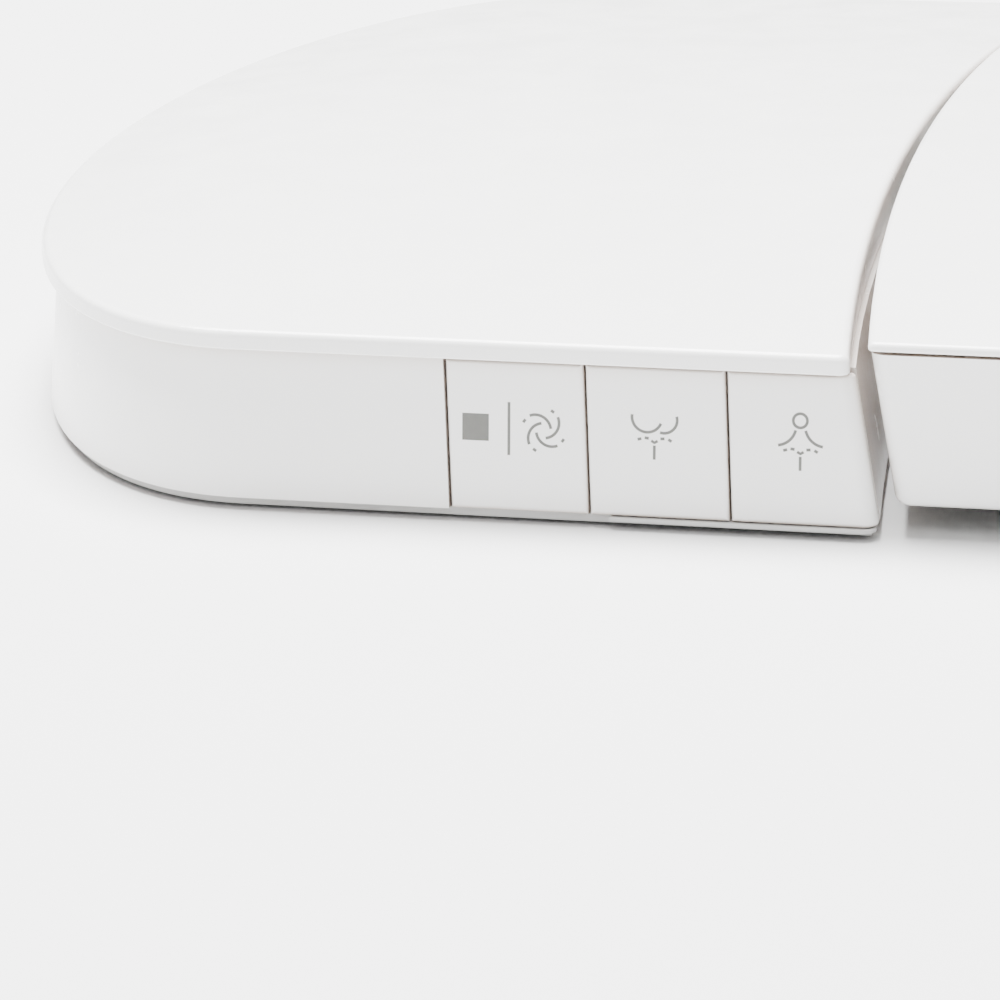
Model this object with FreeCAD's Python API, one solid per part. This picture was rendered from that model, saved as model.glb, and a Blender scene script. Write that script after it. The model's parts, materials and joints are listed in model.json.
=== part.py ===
import FreeCAD, Part
import math
import os

# Electric bidet seat, millimetres.  +Z up, front of the seat towards -Y, a seated user's right towards -X.
# Origin: midway between the two mounting bolts, on the plane of the ceramic rim.

V = FreeCAD.Vector

# ---- driving dimensions -------------------------------------------------------------------------------
half_width = 195.0          # half the width of cover, seat and lid
cover_front = -110.0        # Y of the cover's front corners
rear_straight_end = 16.0    # Y where the straight sides meet the rounded rear
rear_depth = 84.0           # depth of the rounded rear
joint_sag = 13.5            # how far the cover's front edge is hollowed at the middle
seat_front_start = -215.0   # Y where the straight sides meet the rounded front
seat_front_depth = 235.0    # depth of the rounded front
crown = 6.8                 # rise of cover and lid at the middle of their width
crown_room = 24.0           # depth of the solid drawn below the crown
crown_overlap = 20.0        # how far that solid runs past the joint
band_low = 2.2              # Z of the side band's lower edge
cover_low = 33.5            # Z of the cover's lower edge
cover_edge = 4.0            # height of the cover's side face
cover_wall = 3.0
cover_corner_round = 2.0
cover_rim_round = 1.6
lid_corner_round = 1.5
lid_rim_round = 1.2
low_edge_round = 0.5        # rounding of the cover's and lid's lower edges
band_round = 3.0            # rounding of the band's front corners
band_wall = 2.2
band_inset = 3.5            # cover overhang over the top of the band
band_flare = 2.9            # how far the band leans out from top to bottom
front_rake = 5.2            # how far the front wall leans forward from top to bottom
front_reach = 0.9           # front wall in front of the cover's edge, at its top
lid_gap = 3.6               # gap between cover and lid
lid_rise = 3.0              # lid top above the cover top
lid_edge = 1.8              # height of the lid's side face
lid_wall = 3.0
seat_low = 6.0              # Z of the seat's underside
seat_lid_gap = 0.8
seat_wall = 3.4
seat_round = 3.5            # rounding of the seat's rear corners
seat_low_round = 2.6        # rounding of the seat's lower edge
seat_gap = 3.3              # gap between the front wall and the back of the seat
seat_taper = 3.0            # how far the seat's sides draw in towards the underside
opening_half_width = 103.0
opening_middle = -280.0
opening_half_length = 122.0
opening_round = 6.0         # rounding of the opening's upper edge
swing_radius = 7.3          # clears the lid's rear edge as the lid turns
swing_half = 122.0
tray_low = 0.5
tray_floor = 2.0
floor_z = tray_low + tray_floor
tray_inset = 1.6            # tray edge inside the band
lip_gap = 0.1
lip_thick = 0.7             # lip under the front keys
lip_reach = 0.8

# keys
key_width = 28.8
key_seam = 0.45
key_lean = 1.4              # how far a seam leans forwards from top to bottom
key_count = 3
key_front = 24.7            # cover corner to the first seam
key_wall = 2.6
key_edge_round = 0.9
key_travel = 1.2
key_frame_gap = 0.5

# hinge
hinge_drop = 6.0            # hinge axis below and in front of the lid's rear top edge
lid_knuckle_radius = 4.7
pin_radius = 2.0
small_knuckle_radius = 3.4
knuckle_clearance = 0.4
running_clearance = 0.05
damper_span = (8.0, 23.6)
bracket_span = (24.0, 37.0)
bracket_heel = -78.0        # Y where the bracket ends, on the tray's floor
lid_knuckle_span = (37.6, 49.0)
seat_knuckle_span = (49.6, 61.0)

# nozzle
nozzle_tilt = 12.0
nozzle_radius = 5.0
nozzle_length = 120.0
tip_length = 9.0
nozzle_start = V(0, -88.0, 7.5)
nozzle_clearance = 0.08
rack_module = 0.8
pinion_teeth = 14
rack_half_width = 2.4
rack_line = 6.3             # pitch line above the nozzle's axis
pinion_place = 21.0         # pinion centre behind the nozzle's tip
tooth_slack = 0.12

# mounting
bolt_spacing = 155.0
slot_length = 30.0
slot_half_width = 3.5
plate_half_length = 100.0
plate_depth = 60.0
plate_thick = 4.0

clearance = 0.3


# ---- shared shapes ------------------------------------------------------------------------------------
joint_radius = (half_width ** 2 + joint_sag ** 2) / (2 * joint_sag)
joint_middle = cover_front + joint_sag
crown_radius = (half_width ** 2 + crown ** 2) / (2 * crown)
cover_top = cover_low + cover_edge
lid_top = cover_top + lid_rise
lid_low = lid_top - lid_edge
seat_top = lid_low - seat_lid_gap
hinge_y = joint_middle - lid_gap - hinge_drop
hinge_z = lid_top + crown - hinge_drop
pitch_radius = rack_module * pinion_teeth / 2


def sag(x):
    return joint_radius - math.sqrt(joint_radius ** 2 - x ** 2)


def box(x0, x1, y0, y1, z0, z1):
    return Part.makeBox(x1 - x0, y1 - y0, z1 - z0, V(x0, y0, z0))


def rod(radius, start, end):
    along = end - start
    return Part.makeCylinder(radius, along.Length, start, along)


def x_rod(radius, x0, x1, y, z):
    return rod(radius, V(x0, y, z), V(x1, y, z))


def half_ellipse(a, b, y, z, side):
    """Half an ellipse across X, bulging towards +Y (side 1) or -Y (side -1)."""
    if b > a:
        ellipse = Part.Ellipse(V(0, y + b, z), V(-a, y, z), V(0, y, z))
        first = -math.pi / 2 if side > 0 else math.pi / 2
    else:
        ellipse = Part.Ellipse(V(0, y, z), a, b)
        first = 0 if side > 0 else math.pi
    return Part.ArcOfEllipse(ellipse, first, first + math.pi).toShape()


def outline(width, joint_y, straight_end, depth, side, z):
    """A closed outline: an arc at the joint, two straight sides and a rounded far end."""
    corner = joint_y - sag(width)
    arc = Part.Arc(V(-width, corner, z), V(0, joint_y, z), V(width, corner, z)).toShape()
    sides = [Part.LineSegment(V(x, corner, z), V(x, straight_end, z)).toShape() for x in (-width, width)]
    end = half_ellipse(width, depth, straight_end, z, side)
    return Part.Wire(Part.__sortEdges__([arc, end] + sides))


def housing_wire(offset, forward, z):
    width = half_width + offset
    return outline(width, joint_middle - forward, rear_straight_end, rear_depth + offset, 1, z)


def seat_wire(offset, forward, z):
    width = half_width + offset
    return outline(width, joint_middle - forward, seat_front_start, seat_front_depth + offset, -1, z)


def prism(wire, height):
    return Part.Face(wire).extrude(V(0, 0, height))


def tapered(low, high):
    return Part.makeLoft([low, high], True, True)


def under_crown(rim_z, mid_y, depth, side, inset):
    """The solid below the crowned surface whose rim lies at rim_z: a bar across X, then half a dome."""
    radius = crown_radius - inset
    centre_z = rim_z + crown - crown_radius
    base = centre_z + radius - crown_room
    dome = Part.makeSphere(radius, V(0, 0, centre_z), V(0, 0, 1), dome_angle(radius), 90, 180)
    if side < 0:
        dome.rotate(V(0, 0, 0), V(0, 0, 1), 180)
    matrix = FreeCAD.Matrix()
    matrix.scale(V(1, depth / half_width, 1))
    dome = dome.transformGeometry(matrix)
    dome.translate(V(0, mid_y, 0))
    width = half_width + crown_overlap
    near = mid_y - side * (abs(mid_y - joint_middle) + crown_overlap)
    edge_z = centre_z + math.sqrt(radius ** 2 - width ** 2)
    start, end = V(-width, mid_y, edge_z), V(width, mid_y, edge_z)
    arc = Part.Arc(start, V(0, mid_y, centre_z + radius), end).toShape()
    rest = Part.makePolygon([end, V(width, mid_y, base), V(-width, mid_y, base), start])
    bar = Part.Face(Part.Wire([arc] + rest.Edges)).extrude(V(0, near - mid_y, 0))
    return dome.fuse(bar)


def dome_angle(radius):
    return math.degrees(math.asin((radius - crown_room) / radius))


def edge_points(edge):
    first, last = edge.FirstParameter, edge.LastParameter
    return [edge.valueAt(first + (last - first) * share / 2) for share in range(3)]


def rounded_rim(shape, rim_z, low_z, joint_y, corner_round, rim_round):
    """Round the upright corners at the joint, then the rim under the crown and the lower edge."""
    def is_corner(edge):
        a, middle, b = edge_points(edge)
        upright = abs(a.x - b.x) < 0.01 and abs(a.y - b.y) < 0.01 and abs(a.z - b.z) > 1
        return upright and abs(a.y - joint_y) < 1

    def is_rim(edge):
        a, middle, b = edge_points(edge)
        if min(a.z, middle.z, b.z) < rim_z - 0.2 or (a - b).Length < 1:
            return False
        return not (abs(a.y - middle.y) < 0.5 and abs(b.y - middle.y) < 0.5)
    shape = shape.makeFillet(corner_round, [edge for edge in shape.Edges if is_corner(edge)])
    shape = shape.makeFillet(rim_round, [edge for edge in shape.Edges if is_rim(edge)])
    low = [edge for edge in shape.Edges if max(point.z for point in edge_points(edge)) < low_z + 0.01]
    return shape.makeFillet(low_edge_round, low)


def mirrored(shape):
    return shape.mirror(V(0, 0, 0), V(1, 0, 0))


def in_nozzle_frame(shape):
    """Turn a shape drawn with the nozzle's tip at the origin and its length along +Y into place."""
    placed = shape.copy()
    placed.rotate(V(0, 0, 0), V(1, 0, 0), nozzle_tilt)
    placed.translate(nozzle_start)
    return placed


def save(name, shape):
    shape = shape.removeSplitter()
    if len(shape.Solids) == 1:
        shape = shape.Solids[0]
    shape.exportStep("parts/" + name + ".step")
    print(name, len(shape.Solids), round(shape.Volume / 1000, 2), shape.isValid())


# ---- housing ------------------------------------------------------------------------------------------
band_bottom_offset = band_flare - band_inset


def band_solid(inset):
    """The side band's outer form, drawn in by inset all round."""
    low = housing_wire(band_bottom_offset - inset, front_reach + front_rake - inset, band_low)
    high = housing_wire(-band_inset - inset, front_reach - inset, cover_low + 0.7)
    shape = tapered(low, high)
    if inset:
        return shape
    steep = [edge for edge in shape.Edges if edge_points(edge)[1].y < cover_front - 1
             and abs(edge_points(edge)[0].z - edge_points(edge)[2].z) > 20]
    return shape.makeFillet(band_round, steep)


key_seams = [cover_front + key_front + i * key_width for i in range(key_count)]
key_back = key_seams[-1]
key_x = -(half_width + 8)
key_return = 6.0            # how far the front key wraps round the corner
outlet = dict(x0=40.5, x1=60.5, z0=3.0, z1=13.4)
deodoriser_port = dict(x0=-60.5, x1=-40.5, z0=4.0, z1=13.0)


def key_slab(x1, y0, y1, z0, z1):
    """A slab from outside the keys to x1 whose two ends lean like the seams."""
    points = [V(key_x, y + seam_lean(z), z) for y, z in ((y0, z0), (y1, z0), (y1, z1), (y0, z1))]
    return Part.Face(Part.makePolygon(points + points[:1])).extrude(V(x1 - key_x, 0, 0))


def seam_lean(z):
    return key_lean * (z - (band_low + cover_low) / 2) / (cover_low - band_low)


def key_window(clear):
    back = key_back + key_seam / 2
    return key_slab(-half_width + key_return + clear, cover_front - 15, back, 0, cover_low + 2)


def side_band():
    shape = band_solid(0).cut(band_solid(band_wall).fuse(prism(housing_wire(-band_inset - 6, -6, 0), 60)))
    shape = shape.cut(key_window(key_travel + key_frame_gap))
    shape = shape.cut(box(-half_width, half_width, cover_front - 10, -90, cover_low - 0.1, cover_low + 2))
    shape = shape.cut(box(-38, 38, -112, -90, 0, 26))
    shape = shape.cut(box(outlet["x0"], outlet["x1"], -112, -90, outlet["z0"], outlet["z1"]))
    port = deodoriser_port
    slots = [box(x, x + 2.2, -112, -90, port["z0"], port["z1"])
             for x in (port["x0"] + 1 + 4 * i for i in range(5))]
    for slot in slots:
        shape = shape.cut(slot)
    shape = shape.cut(x_window(night_light_place, night_light_half_width + 0.2, night_light_half_height + 0.2))
    shape = shape.cut(inlet_part(inlet_radius + 0.4, 60, 130))
    shape = shape.cut(gland_part(gland_radius + 0.05, 60, 130))
    return shape.cut(release_window(release_clearance))


def release_window(grow):
    """The release button's outline, run through the band's left side and grown all round."""
    half_y, half_z = release_half_length + grow, release_half_height + grow
    return box(release_inner, half_width + 25, release_y - half_y, release_y + half_y,
               release_z - half_z, release_z + half_z)


def x_window(place, half_x, half_z):
    x, z = place
    return box(x - half_x, x + half_x, -115, -85, z - half_z, z + half_z)


def base_tray():
    low = housing_wire(band_bottom_offset - tray_inset, front_reach + front_rake - tray_inset, tray_low)
    edge = prism(low, band_low - tray_low - lip_gap)
    floor = prism(housing_wire(band_bottom_offset - band_wall - 2.2, front_reach + front_rake - band_wall - 1.5,
                               band_low - lip_gap), floor_z - band_low + lip_gap)
    lip_low = band_low - lip_gap - lip_thick
    lip_wire = housing_wire(band_bottom_offset + lip_reach, front_reach + front_rake - 0.6, lip_low)
    lip = prism(lip_wire, lip_thick)
    lip = lip.makeFillet(band_round, [edge for edge in lip.Edges if abs(edge_points(edge)[0].x) > half_width - 5
                                      and edge_points(edge)[0].y < cover_front
                                      and abs(edge_points(edge)[0].z - edge_points(edge)[2].z) > 0.3])
    lip = lip.common(box(key_x, -half_width + 6, cover_front - 8, key_seams[1] - 5, 0, 5))
    tray = edge.fuse(floor).fuse(lip)
    roof = plate_thick + clearance
    x, y0, y1 = plate_half_length + 1, plate_y0 - 1, plate_y1 + 1
    tray = tray.fuse(box(-x - 2, x + 2, y0 - 2, y1 + 2, tray_low + 0.5, roof + 2))
    tray = tray.cut(box(-x, x, y0, y1, 0, roof))
    for sx in (-1, 1):
        tray = tray.cut(slot_cut(sx * bolt_spacing / 2, slot_length + 4, slot_half_width + 3, 0, roof + 3))
    tray = tray.cut(box(-38, 38, -125, -86.5, 0, 4))
    for x, y in pad_places:
        tray = tray.cut(rod(pad_radius, V(x, y, 0), V(x, y, pad_height)))
    for x, y in screw_places:
        tray = tray.fuse(rod(5, V(x, y, tray_low + 1), V(x, y, 8)))
        tray = tray.cut(rod(1.9, V(x, y, -1), V(x, y, 9)))
        tray = tray.cut(rod(3.6, V(x, y, -1), V(x, y, 4)))
    return tray


def slot_cut(x, length, half, z0, z1):
    reach = length / 2 - half
    ends = [rod(half, V(x + s * reach, 0, z0), V(x + s * reach, 0, z1)) for s in (-1, 1)]
    return ends[0].fuse(ends[1]).fuse(box(x - reach, x + reach, -half, half, z0, z1))


plate_y0, plate_y1 = -18.0, plate_depth - 18.0
pad_radius, pad_height = 7.0, 1.6
pad_places = [(x, y) for x in (-150, 150) for y in (-85, 25)]
screw_places = [(x, y) for x in (-118, 118) for y in (-72, 50)]


def mounting_plate():
    plate = box(-plate_half_length, plate_half_length, plate_y0, plate_y1, 0, plate_thick)
    for sx in (-1, 1):
        plate = plate.cut(slot_cut(sx * bolt_spacing / 2, slot_length, slot_half_width, -1, plate_thick + 1))
    return plate


def base_pads():
    pads = [rod(pad_radius - 0.1, V(x, y, 0), V(x, y, pad_height)) for x, y in pad_places]
    return Part.makeCompound(pads)


def screw_bosses(radius, z0, z1):
    return [rod(radius, V(x, y, z0), V(x, y, z1)) for x, y in screw_places]


def top_cover():
    form = prism(housing_wire(0, 0, cover_low), 16)
    shape = form.common(under_crown(cover_top, rear_straight_end, rear_depth, 1, 0)).removeSplitter()
    shape = rounded_rim(shape, cover_top, cover_low, cover_front, cover_corner_round, cover_rim_round)
    hollow = prism(housing_wire(-2.5, -2.5, cover_low - 1), 16)
    hollow = hollow.common(under_crown(cover_top, rear_straight_end, rear_depth, 1, cover_wall))
    shape = shape.cut(hollow)
    top = cover_top + crown - cover_wall
    bosses = [boss.common(under_crown(cover_top, rear_straight_end, rear_depth, 1, 1.0))
              for boss in screw_bosses(4.5, 10, top + 2)]
    for boss in bosses:
        shape = shape.fuse(boss)
    for hole in screw_bosses(1.5, 9, 26):
        shape = shape.cut(hole)
    return shape


def housing_screws():
    screws = []
    for x, y in screw_places:
        head = rod(3.4, V(x, y, 1.6), V(x, y, 3.9))
        shank = rod(1.45, V(x, y, 3.9), V(x, y, 22))
        screws.append(head.fuse(shank).cut(box(x - 2.4, x + 2.4, y - 0.4, y + 0.4, 1.5, 2.6)))
    return Part.makeCompound(screws)


# ---- keys ---------------------------------------------------------------------------------------------
key_low = band_low + 0.05
key_high = cover_low - 0.7
key_names = ["key_front_wash", "key_rear_wash", "key_stop"]
key_mid_z = (key_low + key_high) / 2
key_depth = 7.0             # how deep a key reaches behind the widest point of the housing
key_root = 3.2              # where its posts start, inside the skin
key_post_x = -half_width + 9.0
key_pins = (-9.0, 9.0)      # height of the guide pins above and below the middle
key_pin_radius = 2.0
guide_x0, guide_x1 = -half_width + 7.8, -half_width + 9.8
guide_foot = 7.2
board_x = -half_width + 12.6
board_thick = 1.6
switch_height = 1.2


def key_middle(i):
    low = cover_front if i == 0 else key_seams[i - 1]
    return (low + key_seams[i]) / 2


def is_key_edge(edge, y0, y1):
    """The edges round a key's outer face, apart from the one that runs round the front corner."""
    points = edge_points(edge)
    on_face = all(point.x < band_face(point.z) + 0.2 for point in points)
    along = points[1].y - seam_lean(points[1].z)
    upright = abs(points[0].z - points[2].z) > 20 and min(abs(along - y1), abs(along - y0)) < 0.1
    level = abs(points[0].z - points[2].z) < 0.1 and abs(points[0].y - points[2].y) > 10
    return on_face and (upright or level)


def band_face(z):
    """X of the band's outer face on the keys' side at height z."""
    return -(half_width + band_bottom_offset - band_flare * (z - band_low) / (cover_low + 0.7 - band_low))


def key(i):
    y1 = key_seams[i] - key_seam / 2
    y0 = cover_front - 15 if i == 0 else key_seams[i - 1] + key_seam / 2
    inner_x = -half_width + (key_depth if i else key_return - 0.2)
    skin = band_solid(0).cut(band_solid(key_wall))
    shape = skin.common(key_slab(inner_x, y0, y1, key_low, key_high))
    shape = shape.makeFillet(key_edge_round, [edge for edge in shape.Edges if is_key_edge(edge, y0, y1)])
    y, z, root = key_middle(i), key_mid_z, -half_width + key_root
    shape = shape.fuse(box(root, key_post_x, y - 4, y + 4, z - 3, z + 3))
    for dz in key_pins:
        shape = shape.fuse(x_rod(key_pin_radius, root, key_post_x + key_travel + 1, y, z + dz))
    return shape


def key_guide():
    """The fixed plate behind the keys: their posts slide through it."""
    y0, y1 = cover_front + 6, key_back + 5
    plate = box(guide_x0, guide_x1, y0, y1, floor_z, key_high - 1)
    plate = plate.fuse(box(guide_x0, guide_x1 + guide_foot, y0, y1, floor_z, floor_z + 2))
    for i in range(key_count):
        y = key_middle(i)
        plate = plate.cut(box(guide_x0 - 1, guide_x1 + 1, y - 4.4, y + 4.4, key_mid_z - 3.4, key_mid_z + 3.4))
        for dz in key_pins:
            hole = key_pin_radius + running_clearance
            plate = plate.cut(x_rod(hole, guide_x0 - 1, guide_x1 + 1, y, key_mid_z + dz))
    return plate


def key_board():
    board = box(board_x, board_x + board_thick, cover_front + 8, key_back + 3, 6, key_high - 1)
    for i in range(key_count):
        for dz in key_pins:
            hole = x_rod(key_pin_radius + 1, board_x - 1, board_x + 3, key_middle(i), key_mid_z + dz)
            board = board.cut(hole)
    return board


def key_switches():
    middles = [key_middle(i) for i in range(key_count)]
    return Part.makeCompound([box(board_x - switch_height, board_x, y - 3, y + 3, key_mid_z - 3, key_mid_z + 3)
                              for y in middles])


# ---- hinge --------------------------------------------------------------------------------------------
def hinge_bracket():
    x0, x1 = bracket_span
    back = hinge_y - 7.2
    stem = box(x0, x1, back, hinge_y - 2.2, 1.5, hinge_z)
    foot = box(x0, x1, back, bracket_heel, 4.2, 10)
    heel = box(x0, x1, bracket_heel - 8, bracket_heel, floor_z, 10)
    knuckle = x_rod(small_knuckle_radius, x0, x1, hinge_y, hinge_z)
    below = box(x0, x1, back, bracket_heel, 0, hinge_z - 0.2)
    shape = stem.fuse(foot).fuse(heel).common(below.fuse(knuckle)).fuse(knuckle)
    return shape.cut(x_rod(pin_radius + running_clearance, x0 - 1, x1 + 1, hinge_y, hinge_z))


def hinge_pin():
    return x_rod(pin_radius, damper_span[0] + 3, seat_knuckle_span[1], hinge_y, hinge_z)


def damper():
    x0, x1 = damper_span
    body = x_rod(small_knuckle_radius, x0, x1 + 0.4, hinge_y, hinge_z)
    return body.cut(x_rod(pin_radius + running_clearance, x0 + 2, x1 + 1, hinge_y, hinge_z))


# ---- seat and lid -------------------------------------------------------------------------------------
notch_half = seat_knuckle_span[1] + 1.5
notch_front = hinge_y - 8.4
seat_back_top = front_reach + seat_gap
seat_back_low = seat_back_top + front_rake


def seat_form(inset, z0, z1):
    """The seat's outer form between two heights, drawn in by inset."""
    def wire(z):
        low_share = (seat_top - z) / (seat_top - seat_low)
        forward = seat_back_top + (seat_back_low - seat_back_top) * low_share
        return seat_wire(-1.0 - seat_taper * low_share - inset, forward + inset, z)
    return tapered(wire(z0), wire(z1))


def opening(inset, z0, z1):
    a, b = opening_half_width + inset, opening_half_length + inset
    edges = [half_ellipse(a, b, opening_middle, z0, side) for side in (1, -1)]
    return Part.Face(Part.Wire(Part.__sortEdges__(edges))).extrude(V(0, 0, z1 - z0))


def notch(grow):
    return box(-notch_half - grow, notch_half + grow, notch_front - grow, -80, 0, 60)


def lid_swing(grow):
    """Room over the back of the seat for the lid's rear edge as it turns."""
    return x_rod(swing_radius + grow, -swing_half - grow, swing_half + grow, hinge_y, hinge_z)


def channel(grow):
    """Room under the back of the seat for the nozzle."""
    return box(-66 - grow, 66 + grow, -196 - grow, -100, 0, 17 + grow)


def seat_shell():
    outer = seat_form(0, seat_low, seat_top)
    steep = [edge for edge in outer.Edges if edge_points(edge)[1].y > cover_front - 20
             and abs(edge_points(edge)[0].z - edge_points(edge)[2].z) > 20]
    outer = outer.makeFillet(seat_round, steep)
    low = [edge for edge in outer.Edges if max(point.z for point in edge_points(edge)) < seat_low + 0.01]
    outer = outer.makeFillet(seat_low_round, low).cut(opening(0, 0, 60))
    rim = [e for e in outer.Edges if e.BoundBox.ZMin > seat_top - 0.1 and e.BoundBox.XMax < half_width - 40
           and e.BoundBox.XMin > 40 - half_width and e.BoundBox.YMax < opening_middle + opening_half_length + 1]
    outer = outer.makeFillet(opening_round, rim)
    outer = outer.cut(notch(0)).cut(channel(0)).cut(lid_swing(0))
    inner = seat_form(seat_wall, seat_low, seat_top - seat_wall).cut(opening(seat_wall, 0, 60))
    inner = inner.cut(notch(seat_wall)).cut(channel(seat_wall)).cut(lid_swing(seat_wall))
    shape = outer.cut(inner)
    x0, x1 = seat_knuckle_span
    for sx in (-1, 1):
        a, b = sorted((sx * x0, sx * x1))
        top = hinge_z - 0.9
        arm = box(a, b, notch_front - 10, notch_front + 0.1, seat_top - 1, top)
        shape = shape.fuse(arm).fuse(box(a, b, notch_front, hinge_y, hinge_z - small_knuckle_radius, top))
        shape = shape.fuse(x_rod(small_knuckle_radius, a, b, hinge_y, hinge_z))
        hole = pin_radius if sx < 0 else pin_radius + running_clearance
        shape = shape.cut(x_rod(hole, a - 1, b + 1, hinge_y, hinge_z))
    return shape


def seat_base():
    plate = seat_form(seat_wall + clearance, seat_low, seat_low + 2.5)
    plate = plate.cut(opening(seat_wall + clearance, 0, 60)).cut(notch(seat_wall + clearance))
    plate = plate.cut(channel(seat_wall + clearance))
    for x, y in bumper_places:
        plate = plate.cut(rod(5.1, V(x, y, 0), V(x, y, 10)))
    return plate


bumper_places = [(sx * 150, y) for sx in (-1, 1) for y in (-190, -330)]
lid_bumper_top = seat_top + 1.6
lid_bumper_places = [(sx * 128, y) for sx in (-1, 1) for y in (-165, -330)]


def seat_bumpers():
    pads = []
    for x, y in bumper_places:
        pad = rod(8, V(x, y, 0), V(x, y, seat_low - 0.1)).fuse(rod(5, V(x, y, 0), V(x, y, seat_low + 4)))
        pads.append(pad)
    return Part.makeCompound(pads)


def seat_heater():
    z = seat_top - seat_wall - 0.8
    sheet = seat_form(14, z, z + 0.5).cut(opening(10, 0, 60))
    return sheet.cut(box(-half_width, half_width, -170, 0, 0, 60))


def occupancy_sensor():
    z = seat_top - seat_wall - 5
    return box(118, 148, -300, -260, z, z + 3)


def lid_form():
    shape = prism(seat_wire(0, lid_gap, lid_low), 16).common(
        under_crown(lid_top, seat_front_start, seat_front_depth, -1, 0)).removeSplitter()
    return rounded_rim(shape, lid_top, lid_low, cover_front - lid_gap, lid_corner_round, lid_rim_round)


def lid_panel():
    shape = lid_form()
    hollow = prism(seat_wire(-1.5, lid_gap + 1.5, lid_low - 5), 20)
    hollow = hollow.common(under_crown(lid_top, seat_front_start, seat_front_depth, -1, lid_wall))
    shape = shape.cut(hollow)
    boss = box(-notch_half, notch_half, hinge_y - 7, joint_middle, hinge_z + 0.5, hinge_z + 12)
    shape = shape.fuse(boss.common(lid_form()))
    reach = seat_knuckle_span[1] + 0.6
    shape = shape.cut(box(-reach, reach, hinge_y - 7, joint_middle, lid_low - 1, hinge_z + 0.5))
    shape = shape.cut(x_rod(small_knuckle_radius + knuckle_clearance, -reach, reach, hinge_y, hinge_z))
    x0, x1 = lid_knuckle_span
    for sx in (-1, 1):
        a, b = sorted((sx * x0, sx * x1))
        shape = shape.fuse(x_rod(lid_knuckle_radius, a, b, hinge_y, hinge_z))
        hole = pin_radius if sx > 0 else pin_radius + running_clearance
        shape = shape.cut(x_rod(hole, a - 1, b + 1, hinge_y, hinge_z))
    ceiling = under_crown(lid_top, seat_front_start, seat_front_depth, -1, lid_wall / 2)
    for x, y in lid_bumper_places:
        post = rod(6, V(x, y, lid_bumper_top), V(x, y, lid_top + crown))
        shape = shape.fuse(post.common(ceiling))
    return shape


def lid_bumpers():
    return Part.makeCompound([rod(5, V(x, y, seat_top + clearance), V(x, y, lid_bumper_top))
                              for x, y in lid_bumper_places])


# ---- nozzle -------------------------------------------------------------------------------------------
pressure_angle = math.radians(20)
rack_pitch = math.pi * rack_module
addendum = 0.8 * rack_module
dedendum = 1.05 * rack_module
rack_start, rack_end = 14.0, nozzle_length


def rack():
    """Straight-sided teeth on a bar, a tooth centred under the pinion."""
    root, top = rack_line - dedendum, rack_line + addendum
    bar = box(-rack_half_width, rack_half_width, rack_start, rack_end, nozzle_radius - 1.2, root)
    half = rack_pitch / 4 - tooth_slack / 2
    lean = math.tan(pressure_angle)
    first = math.ceil((rack_start + rack_pitch / 2 - pinion_place) / rack_pitch)
    last = math.floor((rack_end - rack_pitch / 2 - pinion_place) / rack_pitch)
    teeth = []
    for n in range(first, last + 1):
        y = pinion_place + n * rack_pitch
        wide, narrow = half + dedendum * lean, half - addendum * lean
        points = [V(-rack_half_width, y - wide, root - 0.01), V(-rack_half_width, y + wide, root - 0.01),
                  V(-rack_half_width, y + narrow, top), V(-rack_half_width, y - narrow, top)]
        face = Part.Face(Part.makePolygon(points + points[:1]))
        teeth.append(face.extrude(V(2 * rack_half_width, 0, 0)))
    return bar.multiFuse(teeth)


def nozzle_wand():
    tube = rod(nozzle_radius, V(0, tip_length, 0), V(0, nozzle_length, 0))
    tube = tube.fuse(rack())
    return in_nozzle_frame(tube.cut(rod(2.6, V(0, tip_length + 4, 0), V(0, nozzle_length + 1, 0))))


def nozzle_tip():
    tip = rod(nozzle_radius, V(0, 0, 0), V(0, tip_length, 0))
    tip = tip.makeFillet(2.0, [e for e in tip.Edges if e.BoundBox.YMax < 0.1])
    for y in (4.0, 7.0):
        tip = tip.cut(rod(0.7, V(0, y, 0), V(0, y, 10)))
    return in_nozzle_frame(tip)


def nozzle_cradle():
    body = box(-7.6, 7.6, 2, 58, -7, 2.5)
    body = body.cut(rod(nozzle_radius + nozzle_clearance, V(0, 0, 0), V(0, 60, 0)))
    legs = box(-7.6, 7.6, 44, 52, -14, -6)
    return in_nozzle_frame(body.fuse(legs)).common(box(-20, 20, -120, 60, floor_z, 60))


def gear_profile():
    base = pitch_radius * math.cos(pressure_angle)
    outer = pitch_radius + addendum
    root = pitch_radius - dedendum
    involute = math.tan(pressure_angle) - pressure_angle
    half_tooth = math.pi / (2 * pinion_teeth) - tooth_slack / (2 * pitch_radius)
    points = []
    for k in range(pinion_teeth):
        middle = 2 * math.pi * (k + 0.5) / pinion_teeth
        flank = []
        for step in range(5):
            radius = base + (outer - base) * step / 4
            turn = math.acos(base / radius)
            flank.append((radius, half_tooth + involute - (math.tan(turn) - turn)))
        flank.insert(0, (root, flank[0][1]))
        points += [(r, middle - a) for r, a in flank] + [(r, middle + a) for r, a in reversed(flank)]
    return [V(0, r * math.sin(a), r * math.cos(a)) for r, a in points]


def nozzle_pinion():
    points = gear_profile()
    wheel = Part.Face(Part.makePolygon(points + points[:1])).extrude(V(2 * rack_half_width, 0, 0))
    wheel.translate(V(-rack_half_width, pinion_place, rack_line + pitch_radius))
    shaft = x_rod(1.5, rack_half_width, 15, pinion_place, rack_line + pitch_radius)
    return in_nozzle_frame(wheel.fuse(shaft))


def nozzle_motor():
    z = rack_line + pitch_radius
    can = x_rod(10, 8, 27, pinion_place, z).fuse(x_rod(3.5, 5.5, 8, pinion_place, z))
    can = can.fuse(box(8, 9.2, pinion_place - 14, pinion_place + 14, z - 3.5, z + 3.5))
    can = can.cut(x_rod(1.5 + running_clearance, 5, 16, pinion_place, z))
    return in_nozzle_frame(can)


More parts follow.
